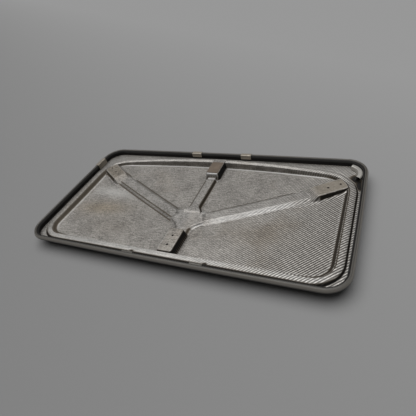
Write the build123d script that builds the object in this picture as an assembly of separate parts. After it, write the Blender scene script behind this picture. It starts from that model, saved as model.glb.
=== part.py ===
from build123d import *
import math
import os

# Pressed-steel lid of a roof vent, lying on its outer skin with its inner side up.
# X runs along the length, Y from the front edge to the rear edge, Z up.
# The origin is on the lowest point of the skin, at the middle of the lid.
# All sizes are millimetres.

# Overall sizes
LENGTH = 861.0  # over the widest line of the rim
WIDTH = 455.0
RIM_HEIGHT = 42.0  # from the lowest point of the skin to the top of the hem
RIM_LEAN = 3.0  # the rim leans in by this much from its widest line to its top
GIRTH_Z = 35.5  # height of the widest line
EDGE_BOW = 2.5  # rise of the long edges at their middle
END_BOW = 1.5  # rise of the short edges at their middle
CORNER_RADIUS = 56.0
SMALLEST_CORNER = 18.0
SHEET = 0.9  # thickness of every steel pressing

# Heights of the inner panel
CREST_Z = 29.0  # top of the bead and of the three screw pads
GUTTER_Z = 23.0
FLOOR_Z = 5.0  # lowest point of the dished floor
DISH_RADIUS = 5550.0

# Bead that runs round the panel, arched along the rear
BEAD_HALF_LENGTH = 408.0
BEAD_FRONT_Y = -205.0
BEAD_REAR_Y = 209.0
BEAD_ARCH = 42.0  # how far the rear run falls back at its ends
BEAD_FRONT_CORNER = 65.0
BEAD_REAR_CORNER = 95.0
BEAD_WIDTH = 15.0
BEAD_OUTER_RUN = 3.5
BEAD_INNER_RUN = 10.0
BEAD_REAR_RUN = 4.0  # the inner wall is steeper along the rear

# Hem, seal and gutter, as insets from the widest line of the rim
GUTTER_INSET = 11.0  # outer edge of the gutter, from which the panel's edge leans out
UPSTAND_INSET = 5.1  # the top of the panel's edge stands upright in the hem
UPSTAND_Z = 32.0
UPSTAND_TOP_Z = 40.0
HEM_LEG_INSET = 7.0
HEM_INNER_INSET = 7.9
HEM_DEPTH = 6.0
SEAL_FACE_INSET = 11.2
SEAL_BULB_INSET = 12.2
SEAL_FOOT_Z = 25.0
SEAL_BULB_LOW_Z = 33.5
SEAL_BULB_HIGH_Z = 39.0
SEAL_TOP_Z = 40.2

# Braces: three arms that meet at a hub near the front edge
ARM_HEIGHT = 6.0
ARM_WALL_RUN = 7.0
CORNER_ARM_WIDTH = 27.0
CORNER_ARM_FLANGE = 6.0
REAR_ARM_WIDTH = 22.0
REAR_ARM_FLANGE = 3.0
HUB_CENTRE = (0.0, -62.0)
HUB_REAR_Y = -26.0
HUB_HALF_WIDTH = 45.0  # at the rear edge
HUB_FLARE = 7.0  # the hub is this much wider at each side where the corner arms leave it
HUB_WAIST_Y = -50.0
NECK_REAR_Y = -86.0
HUB_TOP_Z = 11.2
NECK_HALF_WIDTH = 14.5
PAD_WIDTH = 39.0
PAD_WALL_RUN = 5.6
CORNER_PAD_LENGTH = 80.0
CORNER_PAD_ANGLE = 34.0
CORNER_PAD_CENTRE = (345.0, 110.0)
CORNER_SCREWS_CENTRE = (353.4, 115.3)
CORNER_SCREW_PITCH = 34.0
FRONT_PAD_CENTRE = (0.0, -148.0)
FRONT_PAD_LENGTH = 73.0
FRONT_SCREW_PITCH = 31.0
REAR_PAD_CENTRE = (0.0, 164.0)
REAR_PAD_LENGTH = 68.0
SCREW_CLEARANCE_RADIUS = 2.75
SCREW_CORE_RADIUS = 2.1  # M5 thread
NUT_PLATE_LENGTH = 46.0
NUT_PLATE_WIDTH = 26.0
NUT_PLATE_THICKNESS = 5.0
NUT_PLATE_CORNER = 4.0
REST_PAD_LENGTH = 54.0
REST_PAD_THICKNESS = 1.0

# Seal clips
CLIP_WIDTH = 32.0
CLIP_SHEET = 0.8
CLIP_X = 83.0  # clips on the long edges stand this far each side of the middle,
FRONT_RIGHT_CLIP_X = 104.0  # except the one at the right of the front edge
CLIP_LEG_INSET = 13.4
CLIP_LIP_INSET = 1.0
CLIP_LIP = 3.0
CLIP_FOOT_Z = 29.5
SIDE_CLIP_Y = 138.0
SIDE_CLIP_WIDTH = 42.0
SIDE_CLIP_FOOT_Z = 24.0
CORNER_CLIP_OUTER = 43.0  # radii about the centre of the rim's rear right corner
CORNER_CLIP_INNER = 26.0
CORNER_CLIP_TOP_Z = 32.4
CORNER_CLIP_START = -20.0  # degrees
CORNER_CLIP_SWEEP = 88.0

MASTIC_RADIUS = 9.0
MASTIC_SPOTS = [(x, y) for x in (-240, -120, 120, 240) for y in (-120, 90)]


def rounded_panel(half_length, half_width, corner, z):
    """Face with four bowed edges and rounded corners, at height z."""
    end_x = half_length - END_BOW
    end_y = half_width - EDGE_BOW
    edges = [
        ThreePointArc((-end_x, -end_y), (0, -half_width), (end_x, -end_y)),
        ThreePointArc((end_x, -end_y), (half_length, 0), (end_x, end_y)),
        ThreePointArc((end_x, end_y), (0, half_width), (-end_x, end_y)),
        ThreePointArc((-end_x, end_y), (-half_length, 0), (-end_x, -end_y)),
    ]
    face = make_face(edges)
    return Pos(0, 0, z) * fillet(face.vertices(), corner)


def rim_outline(inset, z):
    """Outline of the lid, moved in from its widest line."""
    corner = max(CORNER_RADIUS - inset, SMALLEST_CORNER)
    return rounded_panel(LENGTH / 2 - inset, WIDTH / 2 - inset, corner, z)


def rim_ring(outer_inset, inner_inset, bottom, top):
    """Ring that follows the rim, with upright faces."""
    outer = extrude(rim_outline(outer_inset, bottom), top - bottom)
    return outer - extrude(rim_outline(inner_inset, bottom), top - bottom)


def bead_outline(grow, z, rear_shift=0.0):
    """Outline of the bead's outer crest edge, moved out by grow."""
    side_x = BEAD_HALF_LENGTH + grow
    front_y = BEAD_FRONT_Y - grow
    rear_y = BEAD_REAR_Y + grow + rear_shift
    shoulder_y = rear_y - BEAD_ARCH
    edges = [
        Line((-side_x, front_y), (side_x, front_y)),
        Line((side_x, front_y), (side_x, shoulder_y)),
        ThreePointArc((side_x, shoulder_y), (0, rear_y), (-side_x, shoulder_y)),
        Line((-side_x, shoulder_y), (-side_x, front_y)),
    ]
    face = make_face(edges)
    front = face.vertices().filter_by(lambda v: v.Y < 0)
    face = fillet(front, BEAD_FRONT_CORNER + grow)
    rear = face.vertices().filter_by(lambda v: v.Y > 0).sort_by(Axis.Y)[-2:]
    face = fillet(rear, BEAD_REAR_CORNER + grow)
    return Pos(0, 0, z) * face


def above_floor(lift):
    """Ball whose lower side is the dished floor, raised by lift."""
    centre = Pos(0, 0, FLOOR_Z + DISH_RADIUS)
    return centre * Rot(90, 0, 0) * Sphere(DISH_RADIUS - lift)


def pan_space(grow, drop):
    """Open space of the pan inside the bead, down to the dished floor."""
    top = bead_outline(grow - BEAD_WIDTH, CREST_Z + 1)
    foot = grow - BEAD_WIDTH - BEAD_INNER_RUN
    bottom = bead_outline(foot, FLOOR_Z - 3, BEAD_INNER_RUN - BEAD_REAR_RUN)
    return loft([bottom, top], ruled=True) & above_floor(-drop)


def pillow(inward, top_inset, top_z):
    """Solid pillow shape of the skin up to top_z, moved in by inward."""
    # each pair is an inset from the widest line and the height of the skin there
    bottom = [(185, 0), (120, 1.8), (80, 3.2), (46, 4.8), (36, 5.7), (26, 9.6), (17, 14.6)]
    bottom += [(9.2, 21.2), (4.4, 26.5)]
    sections = [rim_outline(inset + inward, z + inward) for inset, z in bottom]
    sections += [rim_outline(inset + inward, z) for inset, z in [(1, 31.5), (0, GIRTH_Z)]]
    sections.append(rim_outline(top_inset + inward, top_z))
    return loft(sections, ruled=True)


def outer_skin():
    """Skin whose edge is folded over the edge of the inner panel."""
    hem_z = RIM_HEIGHT - HEM_DEPTH
    fold_z = RIM_HEIGHT - SHEET
    lean = RIM_LEAN * HEM_DEPTH / (RIM_HEIGHT - GIRTH_Z)
    solid = pillow(0, RIM_LEAN, RIM_HEIGHT)
    cavity = pillow(SHEET, RIM_LEAN - lean, hem_z)
    mouth = extrude(rim_outline(HEM_INNER_INSET, hem_z - 1), HEM_DEPTH + 2)
    pocket = loft(
        [rim_outline(RIM_LEAN - lean + SHEET, hem_z), rim_outline(RIM_LEAN + SHEET, fold_z)],
        ruled=True,
    )
    pocket -= extrude(rim_outline(HEM_LEG_INSET, hem_z), HEM_DEPTH)
    return solid - cavity - mouth - pocket


def edge_pan(inward, bottom):
    """Solid inside the panel's edge, which leans out from the gutter and then stands upright."""
    sections = [rim_outline(GUTTER_INSET + inward / 2, bottom)]
    sections += [rim_outline(UPSTAND_INSET + inward, z) for z in (UPSTAND_Z, UPSTAND_TOP_Z)]
    return loft(sections, ruled=True)


def inner_panel():
    foot = BEAD_OUTER_RUN
    under = GUTTER_Z - SHEET
    ridge = loft([bead_outline(foot, GUTTER_Z), bead_outline(0, CREST_Z)], ruled=True)
    plate = edge_pan(0, under) - edge_pan(SHEET, GUTTER_Z)
    block = extrude(bead_outline(foot - SHEET, -5), under + 5)
    upper_side = plate + ridge + block - pan_space(0, 0)
    inner_ridge = loft(
        [bead_outline(foot - SHEET, under), bead_outline(-SHEET, CREST_Z - SHEET)], ruled=True
    )
    lower_side = block + inner_ridge - pan_space(SHEET, SHEET)
    return upper_side - lower_side


def pad_box(centre, angle, length, inward=0.0):
    """Solid block of a raised pad, from below the floor up to the crest height."""
    top = Rectangle(length - 2 * inward, PAD_WIDTH - 2 * inward)
    spread = 2 * PAD_WALL_RUN * (CREST_Z - 2) / (CREST_Z - FLOOR_Z)
    foot = Rectangle(length + spread - 2 * inward, PAD_WIDTH + spread - 2 * inward)
    block = loft([Pos(0, 0, 2) * foot, Pos(0, 0, CREST_Z - inward) * top], ruled=True)
    return Pos(centre[0], centre[1], 0) * Rot(0, 0, angle) * block


def arm_bar(start, end, top_width, height, side_run):
    """Bar with sloping sides that follows the dished floor from start to end."""
    heading = Vector(end[0] - start[0], end[1] - start[1], 0)
    along = heading.normalized()
    across = Vector(0, 0, 1).cross(along)
    begin = Vector(start[0], start[1], 0)
    run_up = begin.dot(along)
    nearest = begin - along * run_up
    radius = math.sqrt(DISH_RADIUS**2 - nearest.length**2)
    centre = nearest + Vector(0, 0, FLOOR_Z + DISH_RADIUS)
    base = centre - Vector(0, 0, radius)
    half_top = top_width / 2
    half_foot = half_top + side_run
    corners = [(-half_foot, -SHEET), (half_foot, -SHEET), (half_foot, 0), (half_top, height)]
    corners += [(-half_top, height), (-half_foot, 0)]
    section = Plane(origin=base, x_dir=across, z_dir=across.cross(Vector(0, 0, 1)))
    profile = section * make_face(Polyline(*corners, close=True))
    hinge = Axis(centre, across)
    degrees_per_mm = math.degrees(1 / radius)
    profile = profile.rotate(hinge, -run_up * degrees_per_mm)
    return revolve(profile, hinge, -heading.length * degrees_per_mm)


def hat_arm(start, end, width, flange):
    """Outer and inner solids of an arm, and the solid of its foot flanges."""
    outer = arm_bar(start, end, width, ARM_HEIGHT, ARM_WALL_RUN)
    inner = arm_bar(start, end, width - 2 * SHEET, ARM_HEIGHT - SHEET, ARM_WALL_RUN)
    feet = arm_bar(start, end, width + 2 * (ARM_WALL_RUN + flange), SHEET, 0.1) - outer
    return outer, inner, feet


def hub_outline(grow):
    """Plan of the hub and of the neck that runs from it to the front pad."""
    front = FRONT_PAD_CENTRE[1] + FRONT_PAD_LENGTH / 2 - 1
    points = [
        (HUB_HALF_WIDTH + grow, HUB_REAR_Y + grow),
        (HUB_HALF_WIDTH + HUB_FLARE + grow, HUB_WAIST_Y - grow),
        (NECK_HALF_WIDTH + grow, NECK_REAR_Y - grow),
        (NECK_HALF_WIDTH + grow, front),
    ]
    mirrored = [(-x, y) for x, y in reversed(points)]
    return make_face(Polyline(*points, *mirrored, close=True))


def hub_solid(inward):
    """Low plateau of the hub and the neck, with sloping sides."""
    foot = Pos(0, 0, FLOOR_Z - 2) * hub_outline(ARM_WALL_RUN + 2 - inward)
    top = Pos(0, 0, HUB_TOP_Z - inward) * hub_outline(-inward)
    return loft([foot, top], ruled=True)


def drill(spots, radius):
    """Upright holes through everything at the given places."""
    holes = [Pos(x, y, CREST_Z) * Cylinder(radius, 30) for x, y in spots]
    return holes[0] + holes[1:]


def front_screws():
    x, y = FRONT_PAD_CENTRE
    return [(x, y - 1 - FRONT_SCREW_PITCH / 2), (x, y - 1 + FRONT_SCREW_PITCH / 2)]


def corner_screws(side):
    reach = CORNER_SCREW_PITCH / 2
    angle = math.radians(CORNER_PAD_ANGLE)
    x, y = CORNER_SCREWS_CENTRE
    step = (reach * math.cos(angle), reach * math.sin(angle))
    return [(side * (x - step[0]), y - step[1]), (side * (x + step[0]), y + step[1])]


def sheet_over_floor(outer, inner):
    """Hollow pressing that stands in the pan, trimmed to the panel's surface."""
    return (outer - inner) & pan_space(-0.2, 0)


def hub_brace():
    front = FRONT_PAD_CENTRE
    outer = hub_solid(0) + pad_box(front, 90, FRONT_PAD_LENGTH)
    inner = hub_solid(SHEET) + pad_box(front, 90, FRONT_PAD_LENGTH, SHEET)
    brace = sheet_over_floor(outer, inner)
    return brace - drill(front_screws(), SCREW_CLEARANCE_RADIUS)


def corner_arm(side):
    centre = (side * CORNER_PAD_CENTRE[0], CORNER_PAD_CENTRE[1])
    turn = CORNER_PAD_ANGLE if side > 0 else 180 - CORNER_PAD_ANGLE
    outer, inner, feet = hat_arm(HUB_CENTRE, centre, CORNER_ARM_WIDTH, CORNER_ARM_FLANGE)
    outer += pad_box(centre, turn, CORNER_PAD_LENGTH)
    inner += pad_box(centre, turn, CORNER_PAD_LENGTH, SHEET)
    arm = sheet_over_floor(outer, inner) + ((feet - outer) & pan_space(-0.2, 0))
    arm -= extrude(hub_outline(ARM_WALL_RUN + 0.5), CREST_Z)
    return arm - drill(corner_screws(side), SCREW_CLEARANCE_RADIUS)


def rear_arm():
    start = (0.0, HUB_REAR_Y + ARM_WALL_RUN + 0.5)
    outer, inner, feet = hat_arm(start, REAR_PAD_CENTRE, REAR_ARM_WIDTH, REAR_ARM_FLANGE)
    outer += pad_box(REAR_PAD_CENTRE, 90, REAR_PAD_LENGTH)
    inner += pad_box(REAR_PAD_CENTRE, 90, REAR_PAD_LENGTH, SHEET)
    return sheet_over_floor(outer, inner) + ((feet - outer) & pan_space(-0.2, 0))


def rest_pad():
    """Self-adhesive pad on the rear stop, which keeps the lid from rattling."""
    face = RectangleRounded(PAD_WIDTH - 3, REST_PAD_LENGTH, 2)
    return Pos(0, REAR_PAD_CENTRE[1] - 1, CREST_Z) * extrude(face, REST_PAD_THICKNESS)


def nut_plate(centre, angle, spots):
    """Tapped plate held under a screw pad."""
    plate = Box(NUT_PLATE_LENGTH, NUT_PLATE_WIDTH, NUT_PLATE_THICKNESS)
    plate = fillet(plate.edges().filter_by(Axis.Z), NUT_PLATE_CORNER)
    z = CREST_Z - SHEET - NUT_PLATE_THICKNESS / 2
    plate = Pos(centre[0], centre[1], z) * Rot(0, 0, angle) * plate
    return plate - drill(spots, SCREW_CORE_RADIUS)


def perimeter_seal():
    """Seal that fills the angle of the panel's edge and stands up in front of the hem."""
    hem_z = RIM_HEIGHT - HEM_DEPTH
    height = hem_z - 0.2 - SEAL_FOOT_Z
    root = edge_pan(SHEET + 0.1, GUTTER_Z) & extrude(rim_outline(0, SEAL_FOOT_Z), height)
    root -= extrude(rim_outline(SEAL_FACE_INSET, GUTTER_Z), hem_z)
    body = rim_ring(HEM_INNER_INSET + 0.1, SEAL_FACE_INSET, hem_z - 1, SEAL_TOP_Z)
    bulb = rim_ring(SEAL_FACE_INSET - 0.5, SEAL_BULB_INSET, SEAL_BULB_LOW_Z, SEAL_BULB_HIGH_Z)
    return root + body + bulb


def hem_adhesive():
    return rim_ring(UPSTAND_INSET + SHEET, HEM_LEG_INSET, 36.4, UPSTAND_TOP_Z)


def anti_flutter_mastic():
    """Soft dabs that join the dished floor to the skin below it."""
    space = pillow(SHEET, 0, RIM_HEIGHT) - above_floor(-SHEET)
    dabs = [Pos(x, y, 10) * Cylinder(MASTIC_RADIUS, 20) & space for x, y in MASTIC_SPOTS]
    return Compound(children=dabs)


def hook_clip(width, outer_inset, foot_z, top_z, lip):
    """Bent strip: a leg inside the seal, a strap over it and a lip outside."""
    reach = CLIP_LEG_INSET - outer_inset
    leg = Box(width, CLIP_SHEET, top_z - foot_z, align=(Align.CENTER, Align.MAX, Align.MIN))
    clip = Pos(0, -CLIP_LEG_INSET, foot_z) * leg
    strap = Box(width, reach + CLIP_SHEET, CLIP_SHEET, align=(Align.CENTER, Align.MAX, Align.MIN))
    clip += Pos(0, -outer_inset, top_z) * strap
    if lip:
        tail = Box(width, CLIP_SHEET, lip, align=(Align.CENTER, Align.MAX, Align.MAX))
        clip += Pos(0, -outer_inset, top_z + CLIP_SHEET) * tail
    return clip


def rear_clip(x):
    """Clip that wraps the rear rim."""
    clip = hook_clip(CLIP_WIDTH, CLIP_LIP_INSET, CLIP_FOOT_Z, RIM_HEIGHT + 0.1, CLIP_LIP)
    return Pos(x, WIDTH / 2 - EDGE_BOW * (2 * x / LENGTH) ** 2, 0) * clip


def front_clip(x):
    """Clip that stops short of the front rim and lies on the seal."""
    clip = hook_clip(CLIP_WIDTH, HEM_INNER_INSET + 0.3, CLIP_FOOT_Z, SEAL_TOP_Z + 0.1, 0)
    edge = WIDTH / 2 - EDGE_BOW * (2 * x / LENGTH) ** 2
    return Pos(x, -edge, 0) * Rot(0, 0, 180) * clip


def left_side_clip():
    clip = hook_clip(
        SIDE_CLIP_WIDTH, CLIP_LIP_INSET, SIDE_CLIP_FOOT_Z, RIM_HEIGHT + 0.1, CLIP_LIP
    )
    edge = LENGTH / 2 - END_BOW * (2 * SIDE_CLIP_Y / WIDTH) ** 2
    return Pos(-edge, SIDE_CLIP_Y, 0) * Rot(0, 0, 90) * clip


def right_corner_clip():
    """Clip that follows the rear right corner, inside the seal."""
    centre = (LENGTH / 2 - END_BOW - CORNER_RADIUS, WIDTH / 2 - EDGE_BOW - CORNER_RADIUS)
    height = CORNER_CLIP_TOP_Z - SIDE_CLIP_FOOT_Z
    leg_base = (CORNER_CLIP_INNER, SIDE_CLIP_FOOT_Z)
    strap_base = (CORNER_CLIP_INNER, CORNER_CLIP_TOP_Z)
    strap_width = CORNER_CLIP_OUTER - CORNER_CLIP_INNER
    corner = (Align.MIN, Align.MIN)
    section = Pos(*leg_base) * Rectangle(CLIP_SHEET, height, align=corner)
    section += Pos(*strap_base) * Rectangle(strap_width, CLIP_SHEET, align=corner)
    band = revolve(Plane.XZ * section, Axis.Z, CORNER_CLIP_SWEEP)
    return Pos(*centre, 0) * Rot(0, 0, CORNER_CLIP_START) * band


def build_nodes():
    right_screws = corner_screws(1)
    left_screws = corner_screws(-1)
    x, y = CORNER_SCREWS_CENTRE
    front_centre = (0, FRONT_PAD_CENTRE[1] - 1)
    return {
        "outer_skin": outer_skin(),
        "inner_panel": inner_panel(),
        "hub_brace": hub_brace(),
        "left_brace_arm": corner_arm(-1),
        "right_brace_arm": corner_arm(1),
        "rear_brace_arm": rear_arm(),
        "rear_rest_pad": rest_pad(),
        "front_nut_plate": nut_plate(front_centre, 90, front_screws()),
        "left_nut_plate": nut_plate((-x, y), 180 - CORNER_PAD_ANGLE, left_screws),
        "right_nut_plate": nut_plate((x, y), CORNER_PAD_ANGLE, right_screws),
        "perimeter_seal": perimeter_seal(),
        "hem_adhesive": hem_adhesive(),
        "anti_flutter_mastic": anti_flutter_mastic(),
        "rear_left_clip": rear_clip(-CLIP_X),
        "rear_right_clip": rear_clip(CLIP_X),
        "front_left_clip": front_clip(-CLIP_X),
        "front_right_clip": front_clip(FRONT_RIGHT_CLIP_X),
        "left_side_clip": left_side_clip(),
        "right_corner_clip": right_corner_clip(),
    }


os.makedirs("parts", exist_ok=True)
for name, shape in build_nodes().items():
    export_step(shape, f"parts/{name}.step")
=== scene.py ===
import math

import bpy
import numpy as np
from mathutils import Euler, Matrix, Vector


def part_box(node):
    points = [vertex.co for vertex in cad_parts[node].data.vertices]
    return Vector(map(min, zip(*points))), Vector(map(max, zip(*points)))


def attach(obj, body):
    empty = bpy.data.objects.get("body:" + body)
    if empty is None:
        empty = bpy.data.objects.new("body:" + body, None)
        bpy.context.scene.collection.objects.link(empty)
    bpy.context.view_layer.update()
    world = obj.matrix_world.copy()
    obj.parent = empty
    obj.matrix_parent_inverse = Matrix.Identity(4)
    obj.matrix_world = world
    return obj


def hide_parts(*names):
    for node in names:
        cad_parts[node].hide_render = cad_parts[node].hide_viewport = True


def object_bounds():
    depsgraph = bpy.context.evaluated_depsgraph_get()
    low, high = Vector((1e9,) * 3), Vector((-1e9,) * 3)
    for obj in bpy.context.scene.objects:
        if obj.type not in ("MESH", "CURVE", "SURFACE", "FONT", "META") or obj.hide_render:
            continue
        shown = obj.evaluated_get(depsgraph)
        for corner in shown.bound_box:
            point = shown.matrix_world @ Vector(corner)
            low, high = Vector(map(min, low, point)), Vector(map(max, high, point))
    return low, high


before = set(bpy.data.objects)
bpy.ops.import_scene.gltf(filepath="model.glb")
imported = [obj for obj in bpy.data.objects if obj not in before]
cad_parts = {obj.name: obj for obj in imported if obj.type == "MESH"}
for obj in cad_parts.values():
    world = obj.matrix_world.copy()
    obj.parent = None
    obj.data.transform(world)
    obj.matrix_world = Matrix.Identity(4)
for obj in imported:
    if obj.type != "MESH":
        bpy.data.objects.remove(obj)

cad_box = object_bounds()
scene = bpy.context.scene

# ---------------------------------------------------------------- sizes, in millimetres
MM = 0.001
LOW, HIGH = [np.array(v) / MM for v in cad_box]
HALF_LENGTH = (HIGH[0] - LOW[0]) / 2
HALF_WIDTH = (HIGH[1] - LOW[1]) / 2
RIM_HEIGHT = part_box("outer_skin")[1][2] / MM
EDGE_BOW = 2.5
END_BOW = 1.5
CORNER_RADIUS = 56.0

CREST_Z = 29.0
GUTTER_Z = 23.0
FLOOR_Z = 5.0
DISH_RADIUS = 5550.0
BEAD_HALF_LENGTH = 408.0
BEAD_FRONT_Y = -205.0
BEAD_REAR_Y = 209.0
BEAD_ARCH = 42.0
BEAD_FRONT_CORNER = 65.0
BEAD_REAR_CORNER = 95.0

PAD_ANGLE = 34.0
PAD_CENTRE = (345.0, 110.0)
PAD_HALF_WIDTH = 19.5
PAD_HALF_LENGTH = 38.5
PAD_SCREWS = (353.4, 115.3)
CORNER_SCREW_REACH = 17.0
FRONT_PAD_Y = -147.0
FRONT_SCREWS_Y = -149.0
FRONT_SCREW_REACH = 15.5
REAR_PAD_Y = 170.5
HOLE_RADIUS = 2.4
HOLE_EDGE_RADIUS = 3.0
HUB_CENTRE = (0.0, -62.0)
PAD_ENDS = [(-385.0, 128.0), (385.0, 128.0), (-366.0, 150.0), (366.0, 150.0)]
CLIP_SHEET = 0.8
BEAD_NOTCHES = [(-85.0, -204.0), (117.0, -204.0)]

PATTERN_ANGLE = -46.0  # degrees, of the sheet's rolled pattern
PATTERN_PITCH = 5.53
DASH_PITCH = 13.0


# ---------------------------------------------------------------- outlines
def arc_points(centre, radius, start, stop, count):
    angles = np.radians(np.linspace(start, stop, count))
    return np.column_stack([centre[0] + radius * np.cos(angles), centre[1] + radius * np.sin(angles)])


def resample(points, count):
    """Evenly spaced points on a closed polyline."""
    closed = np.vstack([points, points[:1]])
    length = np.concatenate([[0], np.cumsum(np.linalg.norm(np.diff(closed, axis=0), axis=1))])
    where = np.linspace(0, length[-1], count, endpoint=False)
    return np.column_stack([np.interp(where, length, closed[:, k]) for k in (0, 1)])


def outward(points):
    """Outward normals of a counter-clockwise closed polyline."""
    along = np.roll(points, -1, axis=0) - np.roll(points, 1, axis=0)
    along /= np.linalg.norm(along, axis=1)[:, None]
    return np.column_stack([along[:, 1], -along[:, 0]])


def bowed(a, b, rise, count=24):
    """Points from a to b, bowed to the right of the way by rise, b left out."""
    a, b = np.array(a, float), np.array(b, float)
    t = np.linspace(0, 1, count, endpoint=False)[:, None]
    way = (b - a) / np.linalg.norm(b - a)
    side = np.array([way[1], -way[0]])
    return a + (b - a) * t + side * rise * 4 * t * (1 - t)


def rim_loop():
    """Widest line of the rim, with its bowed edges."""
    x, y, r = HALF_LENGTH - END_BOW, HALF_WIDTH - EDGE_BOW, CORNER_RADIUS
    parts = [
        bowed((-x + r, -y), (x - r, -y), EDGE_BOW),
        arc_points((x - r, -y + r), r, -90, 0, 30)[:-1],
        bowed((x, -y + r), (x, y - r), END_BOW),
        arc_points((x - r, y - r), r, 0, 90, 30)[:-1],
        bowed((x - r, y), (-x + r, y), EDGE_BOW),
        arc_points((-x + r, y - r), r, 90, 180, 30)[:-1],
        bowed((-x, y - r), (-x, -y + r), END_BOW),
        arc_points((-x + r, -y + r), r, 180, 270, 30)[:-1],
    ]
    return np.vstack(parts)


def rounded(points, radii, step=4.0):
    """Closed polyline through the corner points, counter-clockwise, with each corner rounded."""
    points = [np.array(p, float) for p in points]
    run = []
    for i, corner in enumerate(points):
        before = points[i - 1] - corner
        after = points[(i + 1) % len(points)] - corner
        a = before / np.linalg.norm(before)
        b = after / np.linalg.norm(after)
        half = math.acos(np.clip(a @ b, -1, 1)) / 2
        if radii[i] < 0.01 or half > math.radians(89.5):
            run.append(corner[None])
            continue
        reach = radii[i] / math.tan(half)
        centre = corner + (a + b) / np.linalg.norm(a + b) * radii[i] / math.sin(half)
        first = corner + a * reach - centre
        last = corner + b * reach - centre
        start = math.degrees(math.atan2(first[1], first[0]))
        stop = math.degrees(math.atan2(last[1], last[0]))
        if stop < start:
            stop += 360
        count = max(4, int(abs(math.radians(stop - start)) * radii[i] / step) + 2)
        run.append(arc_points(centre, radii[i], start, stop, count))
    return np.vstack(run)


def bead_loop():
    """Outer edge of the bead's crest: straight front and sides, arched rear, rounded corners."""
    x = BEAD_HALF_LENGTH
    arch_radius = (x * x + BEAD_ARCH**2) / (2 * BEAD_ARCH)
    arch_y = BEAD_REAR_Y - arch_radius
    reach = math.degrees(math.asin(x / arch_radius))
    sharp_arch = arc_points((0, arch_y), arch_radius, 90 - reach, 90 + reach, 61)
    corners = [(-x, BEAD_FRONT_Y), (x, BEAD_FRONT_Y)] + list(map(tuple, sharp_arch))
    radii = [BEAD_FRONT_CORNER, BEAD_FRONT_CORNER] + [0.0] * len(sharp_arch)
    front = resample(rounded(corners, radii), 2400)
    # The circle of a rear corner touches the side and the arch from inside.
    rear_x = x - BEAD_REAR_CORNER
    rear_y = arch_y + math.sqrt((arch_radius - BEAD_REAR_CORNER) ** 2 - rear_x**2)
    turn = math.degrees(math.atan2(rear_y - arch_y, rear_x))
    rear_corner = arc_points((rear_x, rear_y), BEAD_REAR_CORNER, 0, turn, 40)
    arch = arc_points((0, arch_y), arch_radius, turn, 180 - turn, 160)[1:-1]
    # Below the rear corners the outline is the sharp one, taken on from the left side round the front.
    front = front[front[:, 1] < rear_y]
    angle = np.degrees(np.arctan2(front[:, 1], front[:, 0])) % 360
    keep = (angle > 170) | (angle < 30)
    front = front[keep][np.argsort((angle[keep] - 90) % 360)]
    return np.vstack([rear_corner, arch, (rear_corner * [-1, 1])[::-1], front])


def by_angle(points, angles, line=None):
    """Points where rays from the middle cross a closed polyline, or values held at the line's points."""
    line = points if line is None else line
    own = np.degrees(np.arctan2(line[:, 1], line[:, 0])) % 360
    order = np.argsort(own)
    own, points = own[order], points[order]
    own = np.concatenate([own[-1:] - 360, own, own[:1] + 360])
    points = np.vstack([points[-1:], points, points[:1]])
    return np.column_stack([np.interp(angles, own, points[:, k]) for k in (0, 1)])


RIM = resample(rim_loop(), 3000)
RIM_NORMAL = outward(RIM)
BEAD = resample(bead_loop(), 3000)
BEAD_NORMAL = outward(BEAD)
for _ in range(30):
    BEAD_NORMAL = (np.roll(BEAD_NORMAL, 1, axis=0) + BEAD_NORMAL + np.roll(BEAD_NORMAL, -1, axis=0)) / 3
BEAD_NORMAL /= np.linalg.norm(BEAD_NORMAL, axis=1)[:, None]

# Rays are spread evenly along the rim, so that long edges and corners get their share.
RAY_COUNT = 560
RAYS = np.sort(np.degrees(np.arctan2(*resample(rim_loop(), RAY_COUNT).T[::-1])) % 360)


def rim_at(inset):
    return by_angle(RIM - RIM_NORMAL * inset, RAYS)


def bead_at(grow):
    return by_angle(BEAD + BEAD_NORMAL * grow, RAYS)


def floor_z(x, y):
    return FLOOR_Z + (x * x + y * y) / (2 * DISH_RADIUS)


def smooth(t):
    t = np.clip(t, 0, 1)
    return t * t * (3 - 2 * t)


# ---------------------------------------------------------------- mesh helpers
def make_object(name, verts, faces, material, replaces=(), shade=True):
    mesh = bpy.data.meshes.new(name)
    mesh.from_pydata([tuple(v) for v in np.asarray(verts) * MM], [], faces)
    mesh.validate()
    mesh.update()
    if shade:
        mesh.polygons.foreach_set("use_smooth", [True] * len(mesh.polygons))
    obj = bpy.data.objects.new(name, mesh)
    scene.collection.objects.link(obj)
    mesh.materials.append(material)
    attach(obj, "root")
    if replaces:
        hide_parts(*replaces)
    return obj


def paint(obj, name, values):
    """Stores one number per vertex, which the materials read."""
    layer = obj.data.attributes.new(name, "FLOAT", "POINT")
    layer.data.foreach_set("value", np.asarray(values, float))


def ring_mesh(rings, closed_section=False, cap_last=False, flip=False):
    """Vertices and faces of a surface through equal loops, each an (n, 3) array."""
    count = len(rings[0])
    verts = np.vstack(rings)
    faces = []
    last = len(rings) if closed_section else len(rings) - 1
    for i in range(last):
        a, b = i * count, ((i + 1) % len(rings)) * count
        for j in range(count):
            k = (j + 1) % count
            quad = (a + j, a + k, b + k, b + j)
            faces.append(quad[::-1] if flip else quad)
    if cap_last:
        base = (len(rings) - 1) * count
        ring = list(range(base, base + count))
        faces.append(tuple(ring if not flip else ring[::-1]))
    return verts, faces


def at_height(loop, z):
    """Loop in the plane raised to one height, or to a height for each point."""
    return np.column_stack([loop, np.broadcast_to(z, len(loop))])


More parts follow.
